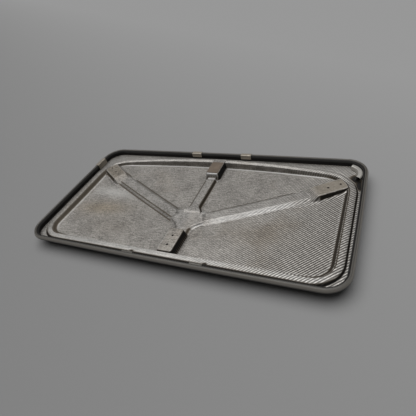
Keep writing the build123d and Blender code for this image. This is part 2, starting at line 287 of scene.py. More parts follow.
def round_profile(points, radii, steps=4):
    """Open 2-D polyline with its inner vertices rounded by quadratic curves."""
    points = [np.array(p, float) for p in points]
    out = [points[0]]
    for i in range(1, len(points) - 1):
        p, a, b = points[i], points[i - 1], points[i + 1]
        reach = radii[i]
        if reach <= 0:
            out.append(p)
            continue
        start = p + (a - p) * min(reach / np.linalg.norm(a - p), 0.5)
        stop = p + (b - p) * min(reach / np.linalg.norm(b - p), 0.5)
        for t in np.linspace(0, 1, steps + 1):
            out.append(start * (1 - t) ** 2 + 2 * p * t * (1 - t) + stop * t * t)
    out.append(points[-1])
    return np.array(out)


# ---------------------------------------------------------------- materials
def new_material(name):
    material = bpy.data.materials.new(name)
    material.use_nodes = True
    nodes = material.node_tree.nodes
    nodes.clear()
    out = nodes.new("ShaderNodeOutputMaterial")
    shader = nodes.new("ShaderNodeBsdfPrincipled")
    material.node_tree.links.new(shader.outputs[0], out.inputs[0])
    return material, shader


class Net:
    """Short ways to add and join shader nodes."""

    def __init__(self, material):
        self.tree = material.node_tree

    def add(self, kind, **values):
        node = self.tree.nodes.new(kind)
        for key, value in values.items():
            setattr(node, key, value)
        return node

    def link(self, source, target):
        self.tree.links.new(source, target)

    def coords(self):
        return self.add("ShaderNodeTexCoord").outputs["Object"]

    def mapped(self, rotation=0.0, scale=(1, 1, 1)):
        node = self.add("ShaderNodeMapping")
        self.link(self.coords(), node.inputs[0])
        node.inputs["Rotation"].default_value = (0, 0, math.radians(rotation))
        node.inputs["Scale"].default_value = scale
        return node.outputs[0]

    def noise(self, scale, detail=3.0, rough=0.55, vector=None):
        node = self.add("ShaderNodeTexNoise")
        self.link(vector or self.coords(), node.inputs["Vector"])
        node.inputs["Scale"].default_value = scale
        node.inputs["Detail"].default_value = detail
        node.inputs["Roughness"].default_value = rough
        return node.outputs["Fac"]

    def math(self, kind, a, b=None, clamp=False):
        node = self.add("ShaderNodeMath", operation=kind, use_clamp=clamp)
        for socket, value in zip(node.inputs, (a, b)):
            if value is None:
                continue
            if isinstance(value, (int, float)):
                socket.default_value = value
            else:
                self.link(value, socket)
        return node.outputs[0]

    def ramp(self, source, stops):
        node = self.add("ShaderNodeValToRGB")
        self.link(source, node.inputs[0])
        elements = node.color_ramp.elements
        while len(elements) < len(stops):
            elements.new(0.5)
        for element, (place, colour) in zip(elements, stops):
            element.position = place
            element.color = (*colour, 1) if len(colour) == 3 else colour
        return node.outputs[0]

    def mix(self, fac, a, b, kind="MIX"):
        node = self.add("ShaderNodeMix", data_type="RGBA", blend_type=kind)
        for socket, value in ((node.inputs[0], fac), (node.inputs[6], a), (node.inputs[7], b)):
            if isinstance(value, (int, float)):
                socket.default_value = value
            elif isinstance(value, tuple):
                socket.default_value = (*value, 1)
            else:
                self.link(value, socket)
        return node.outputs[2]

    def bump(self, height, distance, strength):
        node = self.add("ShaderNodeBump")
        self.link(height, node.inputs["Height"])
        node.inputs["Distance"].default_value = distance
        node.inputs["Strength"].default_value = strength
        return node.outputs[0]


def sheet_material(name, base, relief, metallic, rough):
    """Zinc-coated sheet with a fine diagonal rolled pattern that fades towards the left.

    The mesh says where painted shade, painted highlight, plain and tan sheet are: painted shade is
    brown-dark up to 1 and black at 2.
    """
    material, shader = new_material(name)
    net = Net(material)
    across = net.add("ShaderNodeSeparateXYZ")
    net.link(net.mapped(rotation=PATTERN_ANGLE), across.inputs[0])
    wobble = net.math("MULTIPLY", net.noise(30.0, 2.0), 0.0006)
    row = net.math("ADD", across.outputs[1], wobble)
    rows = net.math("SINE", net.math("MULTIPLY", row, 2 * math.pi / (PATTERN_PITCH * MM)))
    stroke = net.math("ADD", net.math("MULTIPLY", rows, 1.1), 0.5, True)
    dashes = net.math("SINE", net.math("MULTIPLY", across.outputs[0], 2 * math.pi / (DASH_PITCH * MM)))
    broken = net.math("ADD", net.math("MULTIPLY", dashes, 0.13), 0.87)
    lift = net.math("MULTIPLY", stroke, broken)
    place = net.add("ShaderNodeSeparateXYZ")
    net.link(net.coords(), place.inputs[0])
    side = net.math("SUBTRACT", place.outputs[0], net.math("MULTIPLY", place.outputs[1], 0.45))
    fade = [(0.60, (0.06, 0.06, 0.06)), (0.70, (0.42, 0.42, 0.42)), (0.86, (1, 1, 1))]
    pattern_fade = net.ramp(net.math("ADD", side, 0.5), fade)
    lift = net.mix(pattern_fade, (0.45, 0.45, 0.45), lift)
    plain = net.add("ShaderNodeAttribute", attribute_name="plain").outputs["Fac"]
    lift = net.mix(plain, lift, (0.45, 0.45, 0.45))
    speck = net.noise(290.0, 2.0, 0.6)
    brushed = net.noise(1.0, 3.0, 0.6, net.mapped(rotation=-22.0, scale=(45.0, 330.0, 1.0)))
    height = net.math("ADD", lift, net.math("MULTIPLY", speck, 0.35))
    stain = net.noise(6.0, 4.0, 0.6)
    cloud = net.noise(17.0, 4.0, 0.6)
    brown = (base[0] * 0.80, base[1] * 0.735, base[2] * 0.66)
    colour = net.mix(net.ramp(stain, [(0.56, (0, 0, 0)), (0.80, (1, 1, 1))]), base, brown)
    shade = net.math("ADD", net.math("MULTIPLY", cloud, 0.5), net.math("MULTIPLY", brushed, 0.9))
    shade = net.math("ADD", shade, speck)
    contrast = [(0.47, (0.30, 0.30, 0.30)), (0.73, (1.30, 1.30, 1.30))]
    shade = net.ramp(net.math("MULTIPLY", shade, 0.5), contrast)
    shade = net.mix(net.math("MULTIPLY", pattern_fade, 0.55), shade, (0.84, 0.84, 0.84))
    colour = net.mix(1.0, colour, shade, "MULTIPLY")
    tan = net.add("ShaderNodeAttribute", attribute_name="tan").outputs["Fac"]
    colour = net.mix(tan, colour, (0.97, 0.87, 0.72), "MULTIPLY")
    # Painted highlight: lighter colour, and less pattern, where the mesh's highlight layer asks for it.
    painted_highlight = net.add("ShaderNodeAttribute", attribute_name="painted_highlight").outputs["Fac"]
    colour = net.mix(net.math("MULTIPLY", painted_highlight, 0.8, True), colour, tuple(min(v * 1.5, 1) for v in base))
    # Painted shade in the pattern's valleys, less where the highlight is painted.
    kept = net.math("SUBTRACT", relief, net.math("MULTIPLY", painted_highlight, 0.45))
    valley = net.math("MULTIPLY", net.math("SUBTRACT", 1.0, lift, True), kept)
    colour = net.mix(valley, colour, (base[0] * 0.06, base[1] * 0.055, base[2] * 0.047))
    # Painted shade from the mesh's layer: brown-dark up to 1, black from 1 to 2.
    painted_shade = net.add("ShaderNodeAttribute", attribute_name="painted_shade").outputs["Fac"]
    shade_mask = net.math("MULTIPLY", painted_shade, 0.93, True)
    colour = net.mix(shade_mask, colour, (base[0] * 0.135, base[1] * 0.113, base[2] * 0.085))
    black_shade = net.math("SUBTRACT", painted_shade, 1.0, True)
    colour = net.mix(black_shade, colour, (0.006, 0.005, 0.004))
    net.link(colour, shader.inputs["Base Color"])
    shader.inputs["Metallic"].default_value = metallic
    spread = net.math("ADD", net.math("MULTIPLY", stain, 0.18), rough - 0.09)
    net.link(net.math("ADD", spread, net.math("MULTIPLY", shade_mask, 0.25)), shader.inputs["Roughness"])
    net.link(net.bump(height, 0.0009 * relief, 0.9), shader.inputs["Normal"])
    return material


def painted_material(name, base, rough, metallic=0.0, slope_highlight=1.0):
    """Satin paint or plating with faint mottling, scuffs and fine orange peel.

    The last argument lightens the colour of slopes between level and upright, as a painted highlight.
    """
    material, shader = new_material(name)
    net = Net(material)
    cloud = net.noise(14.0, 5.0, 0.6)
    scuff = net.noise(70.0, 6.0, 0.75, net.mapped(scale=(1, 3, 1)))
    colour = net.mix(cloud, tuple(v * 0.82 for v in base), tuple(min(v * 1.16, 1) for v in base))
    marks = net.ramp(scuff, [(0.60, (0, 0, 0)), (0.74, (1, 1, 1))])
    colour = net.mix(net.math("MULTIPLY", marks, 0.35), colour, tuple(min(v * 1.5, 1) for v in base))
    # Painted highlight on slopes, set by the way the surface faces.
    if slope_highlight > 1.0:
        normal = net.add("ShaderNodeSeparateXYZ")
        net.link(net.add("ShaderNodeNewGeometry").outputs["Normal"], normal.inputs[0])
        stops = [(0.02, (0, 0, 0)), (0.20, (1, 1, 1)), (0.72, (1, 1, 1)), (0.96, (0.0, 0.0, 0.0))]
        slope = net.ramp(normal.outputs[2], stops)
        colour = net.mix(slope, colour, tuple(v * slope_highlight for v in base))
    net.link(colour, shader.inputs["Base Color"])
    net.link(net.math("ADD", net.math("MULTIPLY", scuff, 0.25), rough - 0.12), shader.inputs["Roughness"])
    shader.inputs["Metallic"].default_value = metallic
    net.link(net.bump(net.noise(700.0, 2.0), 0.0002, 0.6), shader.inputs["Normal"])
    return material


def rubber_material(name, base, ridge=0.0):
    """Matt sponge rubber with a fine open grain and grey dust in patches.

    ridge is the grey of a painted highlight, laid where the mesh's layer asks for it.
    """
    material, shader = new_material(name)
    net = Net(material)
    dust_and_sheen = net.ramp(net.noise(40.0, 5.0, 0.65), [(0.48, (0, 0, 0)), (0.75, (1, 1, 1))])
    colour = net.mix(net.math("MULTIPLY", dust_and_sheen, 0.4), base, tuple(v * 2.0 + 0.004 for v in base))
    # Painted highlight along the seal's bulb ridge, from the mesh's layer.
    if ridge:
        painted = net.add("ShaderNodeAttribute", attribute_name="dust_and_sheen").outputs["Fac"]
        colour = net.mix(painted, colour, (ridge, ridge * 0.97, ridge * 0.93))
    net.link(colour, shader.inputs["Base Color"])
    net.link(net.math("ADD", net.math("MULTIPLY", dust_and_sheen, 0.2), 0.45), shader.inputs["Roughness"])
    shader.inputs["Specular IOR Level"].default_value = 0.25
    net.link(net.bump(net.noise(1200.0, 3.0, 0.7), 0.0003, 0.7), shader.inputs["Normal"])
    return material


panel_material = sheet_material("coated_sheet_visual", (0.735, 0.70, 0.652), 1.0, 0.4, 0.38)
brace_material = sheet_material("coated_brace_visual", (0.73, 0.70, 0.66), 0.95, 0.4, 0.38)
skin_material = painted_material("skin_primer", (0.080, 0.075, 0.067), 0.40, 0.25, slope_highlight=2.9)
seal_material = rubber_material("seal_rubber_visual", (0.012, 0.011, 0.011), ridge=0.055)
pad_material = rubber_material("rest_pad_visual", (0.16, 0.125, 0.095))
clip_material = painted_material("clip_phosphate", (0.40, 0.36, 0.30), 0.36, 0.6)
# The front clips take a darker copy of the clip colour as painted shade, the corner clip a lighter copy as
# painted highlight.
shaded_clip_material = painted_material("clip_painted_shade", (0.13, 0.123, 0.11), 0.36, 0.5)
lit_clip_material = painted_material("clip_painted_highlight", (0.58, 0.56, 0.52), 0.32, 0.5)
# The nut plates are near-black as painted shade, seen through the screw holes.
hole_shade_material = painted_material("plate_hole_shade", (0.012, 0.012, 0.012), 0.8)
mastic_material = rubber_material("mastic_visual", (0.05, 0.05, 0.05))
adhesive_material = rubber_material("adhesive_visual", (0.10, 0.08, 0.06))


# ---------------------------------------------------------------- outer skin
def build_skin():
    """Folded hem, wall that turns under, and crowned bottom."""
    # inset and height, from the hem's inner edge over the rim and down
    profile = [
        (9.6, 30.0), (7.9, 34.5), (7.9, 39.8), (7.6, 41.2), (6.8, 41.9), (5.2, RIM_HEIGHT),
        (3.8, 41.7), (2.6, 40.6), (1.4, 38.8), (0.5, 37.0), (0.05, 35.4), (0.3, 33.4),
        (1.0, 31.5), (2.4, 29.2), (4.4, 26.5), (6.6, 24.0), (9.2, 21.2), (12.8, 18.0),
        (17.0, 15.0), (21.0, 12.4), (26.0, 9.6), (31.0, 7.3), (36.0, 5.9), (46.0, 4.8),
    ]
    rings = [at_height(rim_at(inset), z) for inset, z in profile]
    # The crown goes on inwards as shrinking copies of the last line.
    last_line = rim_at(profile[-1][0])
    for share, z in [(0.93, 4.2), (0.84, 3.3), (0.70, 2.1), (0.52, 1.0), (0.30, 0.3), (0.08, 0.0)]:
        rings.append(at_height(last_line * share, z))
    verts, faces = ring_mesh(rings, cap_last=True, flip=True)
    make_object("outer_skin_visual", verts, faces, skin_material, ["outer_skin"])


# ---------------------------------------------------------------- inner panel
def build_panel():
    rings, painted_shade, painted_highlight, tan = [], [], [], []

    def add(loop, z, shade_paint=0.0, bright=0.0, brown=0.0):
        rings.append(at_height(loop, z))
        tan.append(np.broadcast_to(brown, len(loop)))
        painted_shade.append(np.broadcast_to(shade_paint, len(loop)))
        painted_highlight.append(np.broadcast_to(bright, len(loop)))

    def dip(loop, spots, reach_x, reach_y):
        """1 at the given spots and 0 away from them."""
        return sum(near(loop[:, 0], x, reach_x) * near(loop[:, 1], y, reach_y) for x, y in spots)

    # how much each ray's part of the bead faces one way
    facing = by_angle(BEAD_NORMAL, RAYS, BEAD)
    rear = smooth(facing[:, 1] * 2.4 - 1.0)
    front = smooth(-facing[:, 1] * 2.4 - 1.0)
    right = smooth(facing[:, 0] * 2.4 - 0.6)
    left = smooth(-facing[:, 0] * 2.4 - 0.6)
    # the panel's leaning edge, behind the seal, with painted shade
    for inset, z, shade_paint in [(6.6, 36.0, 1.2), (6.8, 32.0, 1.2), (11.4, 24.0, 1.2), (12.2, GUTTER_Z, 0.4)]:
        add(rim_at(inset), z, shade_paint)
    start = rim_at(12.2)
    foot = bead_at(4.6)
    for share in np.linspace(0, 1, 7)[1:-1]:
        loop = start + (foot - start) * share
        # Two shallow pits by the corner clip, painted black as its shadow; the gutter itself gets a faint
        # painted highlight.
        pits = dip(loop, [(414.0, 133.0)], 9.0, 17.0) + dip(loop, [(398.0, 160.0)], 9.0, 13.0)
        hollow = smooth(2.2 * pits)
        add(loop, GUTTER_Z - 2.0 * hollow, 2.0 * hollow, 0.2 + 0.05 * right)
    # The bead's inner wall is steep along the rear and slopes at the ends and the front.
    run = 10.0 - 6.5 * rear
    crest = 15.0
    ease = 3.0 * rear
    # offset from the crest's outer edge, height, painted shade and painted highlight
    section = [
        (4.6, 23.0, 0.3, 0.2), (4.0, 22.6, 1.9, 0.0), (3.2, 22.8, 2.0, 0.0), (1.6, 25.4, 2.0, 0.0),
        (0.5, 26.9, 1.7, 0.0), (-0.4, 27.6, 0.0, 0.5), (-2.5, 28.2, 0.0, 0.6), (-5.0, 28.8, 0.0, 0.45),
    ]
    for grow, z, shade_paint, bright in section:
        loop = bead_at(grow)
        low = 1.0 - 0.75 * rear
        # Along the front, painted shade on the crest's outer edge.
        if -3.0 < grow < 0.0:
            shade_paint = (1.9 if grow > -1.0 else 0.45) * front
        # The notches are dented and painted black as their shade.
        notch = smooth(1.7 * dip(loop, BEAD_NOTCHES, 5.2, 4.6))
        add(loop, z - 3.0 * notch, np.maximum(shade_paint * low, 2.0 * notch), bright * (0.35 + 0.55 * front))
    # The crest's top gets a painted highlight, strongest along the front.
    for share, drop in ((0.2, 0.0), (0.45, 0.15), (0.75, 0.5), (0.93, 0.85)):
        z = CREST_Z - ease * drop - 0.1 * share
        add(bead_at(-5.0 - (crest - 5.0) * share), z, 0.0, 0.12 + 0.33 * front)
    lip = bead_at(-crest)
    inward = (bead_at(-crest - 12.0) - lip) / 12.0
    # share of the wall's run, painted shade at the right and elsewhere, painted highlight
    wall = [
        (0.0, 1.1, 0.1, 0.1), (0.10, 1.45, 0.3, 0.0), (0.20, 0.6, 0.55, 0.0), (0.28, 0.0, 0.6, 0.2),
        (0.38, 0.1, 0.6, 0.1), (0.44, 1.4, 0.65, 0.0), (0.70, 1.7, 0.65, 0.0), (0.98, 1.7, 0.6, 0.0),
        (1.08, 1.2, 0.0, 0.5), (1.22, 0.2, 0.0, 0.8), (1.45, 0.0, 0.0, 0.8), (1.8, 0.0, 0.0, 0.0),
    ]
    for share, right_shade_paint, other_shade_paint, bright in wall:
        reach = run * share + 5.0 * rear * max(share - 1.08, 0.0)
        loop = lip + inward * reach[:, None]
        bottom = floor_z(loop[:, 0], loop[:, 1])
        top = CREST_Z - ease
        fall = smooth(share) * 0.35 + min(share, 1.0) * 0.65
        # Painted shade on the wall, set by the way the bead faces.
        shade_paint = right_shade_paint * right + other_shade_paint * (1 - right) * (1 + 0.6 * left - 0.35 * rear)
        # A line of painted shade along the front's left inner wall.
        if share < 0.5:
            shade_paint = np.maximum(shade_paint, 0.95 * front * smooth((-40.0 - loop[:, 0]) / 120.0))
        # Painted shade where the brace pads meet the bead.
        if share < 0.15:
            shade_paint = shade_paint + 1.6 * smooth(1.5 * dip(loop, PAD_ENDS, 16.0, 16.0))
        # Painted highlight at the wall's foot, weaker on the right, front and left.
        bright = bright * (1.4 - 1.1 * np.maximum(right, front) - 0.8 * left)
        add(loop, top + (bottom - top) * fall, shade_paint, bright)
    edge = rings[-1][:, :2]
    for share in (0.985, 0.96, 0.92, 0.86, 0.78, 0.68, 0.57, 0.45, 0.32, 0.2, 0.09):
        loop = edge * share
        # A few floor patches made browner and darker, and one made lighter.
        brown_patch = dip(loop, [(-262.0, -42.0), (-316.0, -62.0)], 62.0, 26.0)
        dark_patch = dip(loop, [(-215.0, -118.0), (175.0, -80.0), (215.0, -70.0)], 70.0, 38.0)
        light_patch = dip(loop, [(-290.0, 22.0)], 80.0, 22.0)
        brown = np.minimum(0.62 * brown_patch + 0.16 * dark_patch, 1.0)
        add(loop, floor_z(loop[:, 0], loop[:, 1]), 0.12 * brown_patch + 0.15 * dark_patch, 0.55 * light_patch, brown)
    verts, faces = ring_mesh(rings, cap_last=True)
    obj = make_object("inner_panel_visual", verts, faces, panel_material, ["inner_panel"])
    paint(obj, "painted_shade", np.concatenate(painted_shade))
    paint(obj, "painted_highlight", np.concatenate(painted_highlight))
    paint(obj, "tan", np.concatenate(tan))


# ---------------------------------------------------------------- seal
def build_seal():
    """Bulb seal between the panel's leaning edge and the hem."""
    # inset, height, painted highlight along the bulb's ridge
    profile = [
        (7.6, 33.0, 0.0), (10.9, 24.2, 0.0), (11.8, 23.4, 0.0), (11.9, 25.5, 0.0),
        (11.3, 28.0, 0.0), (11.0, 31.0, 0.0), (11.1, 33.0, 0.1), (11.9, 34.5, 0.6),
        (12.3, 36.0, 1.0), (12.1, 37.4, 1.0), (11.4, 38.6, 0.4), (10.8, 39.5, 0.0),
        (9.6, 40.1, 0.0), (8.6, 39.6, 0.0), (8.1, 38.2, 0.0), (8.1, 35.8, 0.0), (7.0, 35.4, 0.0),
    ]
    rings = [at_height(rim_at(inset), z) for inset, z, _ in profile]
    verts, faces = ring_mesh(rings, closed_section=True)
    obj = make_object("perimeter_seal_visual", verts, faces, seal_material, ["perimeter_seal"])
    # The bulb's ridge gets a painted highlight.
    paint(obj, "dust_and_sheen", np.repeat([dust_and_sheen for _, _, dust_and_sheen in profile], RAY_COUNT))


# ---------------------------------------------------------------- braces
def spaced(low, high, step, fine_spots=(), fine_reach=5.0, fine_step=0.4):
    """Grid lines from low to high, closer together round the fine spots."""
    lines = list(np.arange(low, high + step, step))
    for spot in fine_spots:
        lines = [v for v in lines if abs(v - spot) > fine_reach]
        lines += list(np.arange(spot - fine_reach, spot + fine_reach + 1e-6, fine_step))
    return np.unique(np.round(lines, 4))


def box_distance(u, v, half_u, half_v, corner):
    """Signed distance to a rounded rectangle, positive inside."""
    qu = np.abs(u) - half_u + corner
    qv = np.abs(v) - half_v + corner
    outside = np.hypot(np.maximum(qu, 0), np.maximum(qv, 0))
    return -(outside + np.minimum(np.maximum(qu, qv), 0) - corner)


def soft_max(a, b, blend):
    """The larger of two heights, with a fillet where they meet."""
    mix = np.clip(0.5 + 0.5 * (a - b) / blend, 0, 1)
    return b + (a - b) * mix + blend * mix * (1 - mix) * 0.5


def flank(distance, run, height):
    """Height of a raised form: 0 beyond run outside its edge, height inside it."""
    t = (distance + run) / run
    return height * (0.55 * np.clip(t, 0, 1) + 0.45 * smooth(t))


def on_floor(base, top, spread, sheet):
    """Raised form with a thin flange, whose edge turns down into the floor where spread is 0."""
    foot = sheet * smooth(spread / 1.2) - (sheet + 0.3) * (1 - smooth((spread + 2) / 2.5))
    return base + np.maximum(top, 0) * smooth((spread - 1) / 3) + foot


def near(value, middle, reach):
    """1 at the middle, falling to 0 away from it."""
    return np.exp(-(((value - middle) / reach) ** 2))


def grid_mesh(xs, ys, height_of, keep_of, paint_of):
    """Surface over a rectangular grid, without the cells where keep_of is false, with its painted layers."""
    gx, gy = np.meshgrid(xs, ys, indexing="ij")
    z = height_of(gx, gy)
    keep = keep_of(gx, gy)
    verts = np.column_stack([gx.ravel(), gy.ravel(), z.ravel()])
    n = len(ys)
    index = np.arange(len(verts)).reshape(gx.shape)
    used = keep[:-1, :-1] & keep[1:, :-1] & keep[:-1, 1:] & keep[1:, 1:]
    a, b, c, d = index[:-1, :-1], index[1:, :-1], index[1:, 1:], index[:-1, 1:]
    faces = np.stack([a[used], b[used], c[used], d[used]], axis=1)
    picked = np.unique(faces)
    remap = -np.ones(len(verts), int)
    remap[picked] = np.arange(len(picked))
    slope_x = np.gradient(z, xs, axis=0)
    slope_y = np.gradient(z, ys, axis=1)
    layers = [layer.ravel()[picked] for layer in paint_of(gx, gy, slope_x, slope_y)]
    return verts[picked], [tuple(f) for f in remap[faces]], layers


def make_brace(name, verts, faces, marks, node):
    """Brace pressing with as many painted layers as it has."""
    obj = make_object(name, verts, faces, brace_material, [node])
    for layer, values in zip(("painted_shade", "painted_highlight", "plain", "tan"), marks):
        paint(obj, layer, values)


def to_world(verts, centre, angle, mirror=False):
    """Vertices turned by angle and moved to centre, then mirrored to the left if asked."""
    a = math.radians(angle)
    turn = np.array([[math.cos(a), -math.sin(a)], [math.sin(a), math.cos(a)]])
    flat = verts[:, :2] @ turn.T + np.array(centre)
    if mirror:
        flat = flat * [-1, 1]
    return np.column_stack([flat, verts[:, 2]])


def holes_cut(z, u, v, spots):
    """Turns a surface down into its screw holes."""
    for su, sv in spots:
        z = z - 1.4 * smooth((HOLE_EDGE_RADIUS - np.hypot(u - su, v - sv)) / 0.5)
    return z


def off_holes(u, v, spots):
    """False inside the screw holes."""
    clear = np.ones(u.shape, bool)
    for su, sv in spots:
        clear &= np.hypot(u - su, v - sv) > HOLE_RADIUS
    return clear


def build_corner_arm(side, name, node):
    """Arm and pad to one rear corner, made for the right side and mirrored for the left."""
    centre = np.array(PAD_CENTRE)
    way = centre - np.array(HUB_CENTRE)
    length = np.linalg.norm(way)
    heading = math.degrees(math.atan2(way[1], way[0]))
    turn = math.radians(PAD_ANGLE - heading)
    cos, sin = math.cos(turn), math.sin(turn)
    a = math.radians(heading)
    pad_way = np.array([math.cos(math.radians(PAD_ANGLE)), math.sin(math.radians(PAD_ANGLE))])
    screws = []
    for reach in (-CORNER_SCREW_REACH, CORNER_SCREW_REACH):
        dx, dy = np.array(PAD_SCREWS) + reach * pad_way - centre
        screws.append((length + dx * math.cos(a) + dy * math.sin(a), dy * math.cos(a) - dx * math.sin(a)))
    us = spaced(44, length + 52, 1.5, [s[0] for s in screws])
    vs = spaced(-42, 42, 1.0, [s[1] for s in screws])

    def world_xy(u, v):
        return (
            HUB_CENTRE[0] + u * math.cos(a) - v * math.sin(a),
            HUB_CENTRE[1] + u * math.sin(a) + v * math.cos(a),
        )

    def pad_along(u, v):
        return (u - length) * cos + v * sin

    def forms(u, v):
        pu = pad_along(u, v)
        pv = -(u - length) * sin + v * cos
        # The pad's box reaches back under the ramp and narrows there.
        taper = 7.0 * smooth((pu + 95.0) / 55.0)
        pad_d = box_distance(pu + 30.0, pv, 69.5, 13.5 + taper, 9.0)
        widen = 13.0 + 1.6 * np.clip((u - 50) / 250, 0, 1)
        arm_d = widen - np.abs(v)
        return pad_d, arm_d

    def height(u, v):
        x, y = world_xy(u, v)
        base = floor_z(x, y)
        pad_d, arm_d = forms(u, v)
        arm = flank(arm_d, 11.0, 6.0)
        pu = pad_along(u, v)
        ramp = smooth((pu + 74.0) / 40.0)
        pad = flank(pad_d, 6.0, CREST_Z - base) * ramp
        top = soft_max(arm, pad, 3.0)
        spread = np.maximum(arm_d + 14.5, pad_d + 11.5)
        z = on_floor(base, top, spread, 0.9)
        return holes_cut(np.minimum(z, CREST_Z + 0.3), u, v, screws)

    def keep(u, v):
        x, y = world_xy(u, v)
        pad_d, arm_d = forms(u, v)
        inside = np.maximum(arm_d + 16.5, pad_d + 13.5) > 0
        cleared = bead_room(x, y)
        beyond_pad = (u > length - 92) & (pad_d < -13)
        return inside & cleared & ~beyond_pad & off_holes(u, v, screws)

    def marks(u, v, slope_u, slope_v):
        pad_d, arm_d = forms(u, v)
        steep = smooth((np.hypot(slope_u, slope_v) - 0.9) / 0.9)
        front = v < 0
        on_arm = np.maximum(smooth(-(pad_d + 3.0) / 4.0), smooth((-58.0 - pad_along(u, v)) / 8.0))
        before_pad = smooth((length - 60.0 - u) / 70.0)
        # Dark lines along the arm's edges are painted shade; bright is a painted highlight on its front
        # slope.
        if side > 0:
            line = (0.85 + 0.25 * np.sin(u * 0.35)) * near(arm_d, -11.0, 1.6) * ~front
            bright = 0.48 * near(arm_d, -6.0, 7.5) * front
        else:
            line = (1.35 * near(arm_d, -1.0, 1.7) + 1.45 * near(arm_d, -10.0, 2.1)) * front
            line = line + 1.1 * near(arm_d, -9.0, 2.2) * ~front
            bright = 0.35 * near(arm_d, -16.0, 2.5) * front
        at_pad = smooth((pad_along(u, v) + 44.0) / 8.0)
        # Painted shade on the pad's steep walls, darkest in front, along its rear edge and where it rises.
        wall = np.where(front, 1.9 if side > 0 else 1.35, 0.9) * steep * at_pad
        rear_edge = 0.9 * near(pad_d, -3.0, 2.0) * ~front * at_pad
        rise = (0.34 if side < 0 else 0.1) * near(pad_along(u, v), -52.0, 13.0) * (pad_d > -3)
        painted_shade = np.maximum.reduce([wall, line * on_arm, rear_edge, rise])
        # Painted highlight round the pad's edge and on the arm's front slope.
        rim = 0.3 * near(pad_d, 1.0, 1.2) * at_pad
        painted_highlight = np.maximum(bright * before_pad * smooth((u - 44.0) / 60.0), rim)
        plate = smooth((pad_along(u, v) + 58.0) / 30.0) * smooth((pad_d + 2.0) / 4.0)
        return painted_shade, painted_highlight, plate, 0.7 * plate

    verts, faces, painted = grid_mesh(us, vs, height, keep, marks)
    verts = to_world(verts, HUB_CENTRE, heading, mirror=side < 0)
    if side < 0:
        faces = [f[::-1] for f in faces]
    make_brace(name, verts, faces, painted, node)


BEAD_INNER = resample(BEAD - BEAD_NORMAL * 16.0, 720)


def bead_room(x, y):
    """True inside the bead's inner crest edge."""
    angle = np.degrees(np.arctan2(y, x)) % 360
    edge = by_angle(BEAD_INNER, angle.ravel())
    reach = np.hypot(edge[:, 0], edge[:, 1]).reshape(x.shape)
    return np.hypot(x, y) < reach


def build_hub():
    """Front pad, neck and hub in one pressing."""
    screws = [(0.0, FRONT_SCREWS_Y - FRONT_SCREW_REACH), (0.0, FRONT_SCREWS_Y + FRONT_SCREW_REACH)]
    xs = spaced(-76, 76, 1.2, [0.0])
    ys = spaced(-193, -8, 1.2, [s[1] for s in screws])

    def hub_distance(x, y):
        # half width of the plateau's top along its length, front end first
        half = np.interp(y, [-112, -88, -74, -54, -40, -22], [14.5, 14.5, 24.0, 49.0, 47.0, 45.0])
        return np.minimum(half - np.abs(x), (-22.0 - y))

    def forms(x, y):
        pad_d = box_distance(x, y - FRONT_PAD_Y, PAD_HALF_WIDTH, PAD_HALF_LENGTH, 5.0)
        return pad_d, hub_distance(x, y)

    def height(x, y):
        base = floor_z(x, y)
        pad_d, hub_d = forms(x, y)
        hub = flank(hub_d, 9.0, 5.6)
        pad = flank(pad_d, 7.2, CREST_Z - base)
        top = soft_max(hub, pad, 3.0)
        spread = np.maximum(hub_d + 14.0, pad_d + 9.0)
        z = on_floor(base, top, spread, 1.3)
        return holes_cut(np.minimum(z, CREST_Z + 0.3), x, y, screws)

    def keep(x, y):
        pad_d, hub_d = forms(x, y)
        inside = np.maximum(hub_d + 16.0, pad_d + 10.0) > 0
        return inside & bead_room(x, y) & off_holes(x, y, screws)

    def marks(x, y, slope_x, slope_y):
        pad_d, hub_d = forms(x, y)
        steep = smooth((np.hypot(slope_x, slope_y) - 1.0) / 1.0)
        # Painted shade: steep walls, black on the right with lighter teeth, a shadow line at the pad's front
        # foot, the neck and the pad's rear end.
        teeth = near(pad_d, -6.5, 1.8) * (np.sin(y * 1.05) > 0.1)
        painted_shade = steep * np.where(x > 0, 2.0 - 1.4 * teeth, 0.8)
        front_foot_shade = 1.9 * near(y, -187.0, 1.6) * (np.abs(x) < 25)
        neck = 1.2 * near(hub_d, -5.0, 4.0) * (x > 0) * smooth((-82 - y) / 4) * smooth((y + 112) / 5)
        # Painted highlights on the step, the pad's edge, the ledge and the top.
        step = near(hub_d, -3.5, 3.2) * smooth((y + 36) / 8) * (np.abs(x) < 40)
        rear_end = 0.75 * near(pad_d, -2.5, 5.0) * smooth((y + 126) / 14) * (np.abs(x) < 24)
        ledge = near(hub_d, -6.0, 5.0) * smooth((x - 18) / 12)
        ledge = ledge * smooth((y + 96) / 10) * smooth((-46 - y) / 12)
        painted_shade = np.maximum.reduce([painted_shade, front_foot_shade, neck, rear_end])
        top = 0.12 * smooth(hub_d / 10) * smooth((y + 104) / 8)
        painted_highlight = np.maximum.reduce([step, 0.35 * near(pad_d, 0.5, 1.0), 0.6 * ledge, top])
        plate = smooth(pad_d / 2.0)
        return painted_shade * (1 - step), painted_highlight, plate, 0.3 * plate

    verts, faces, painted = grid_mesh(xs, ys, height, keep, marks)
    make_brace("hub_brace_visual", verts, faces, painted, "hub_brace")


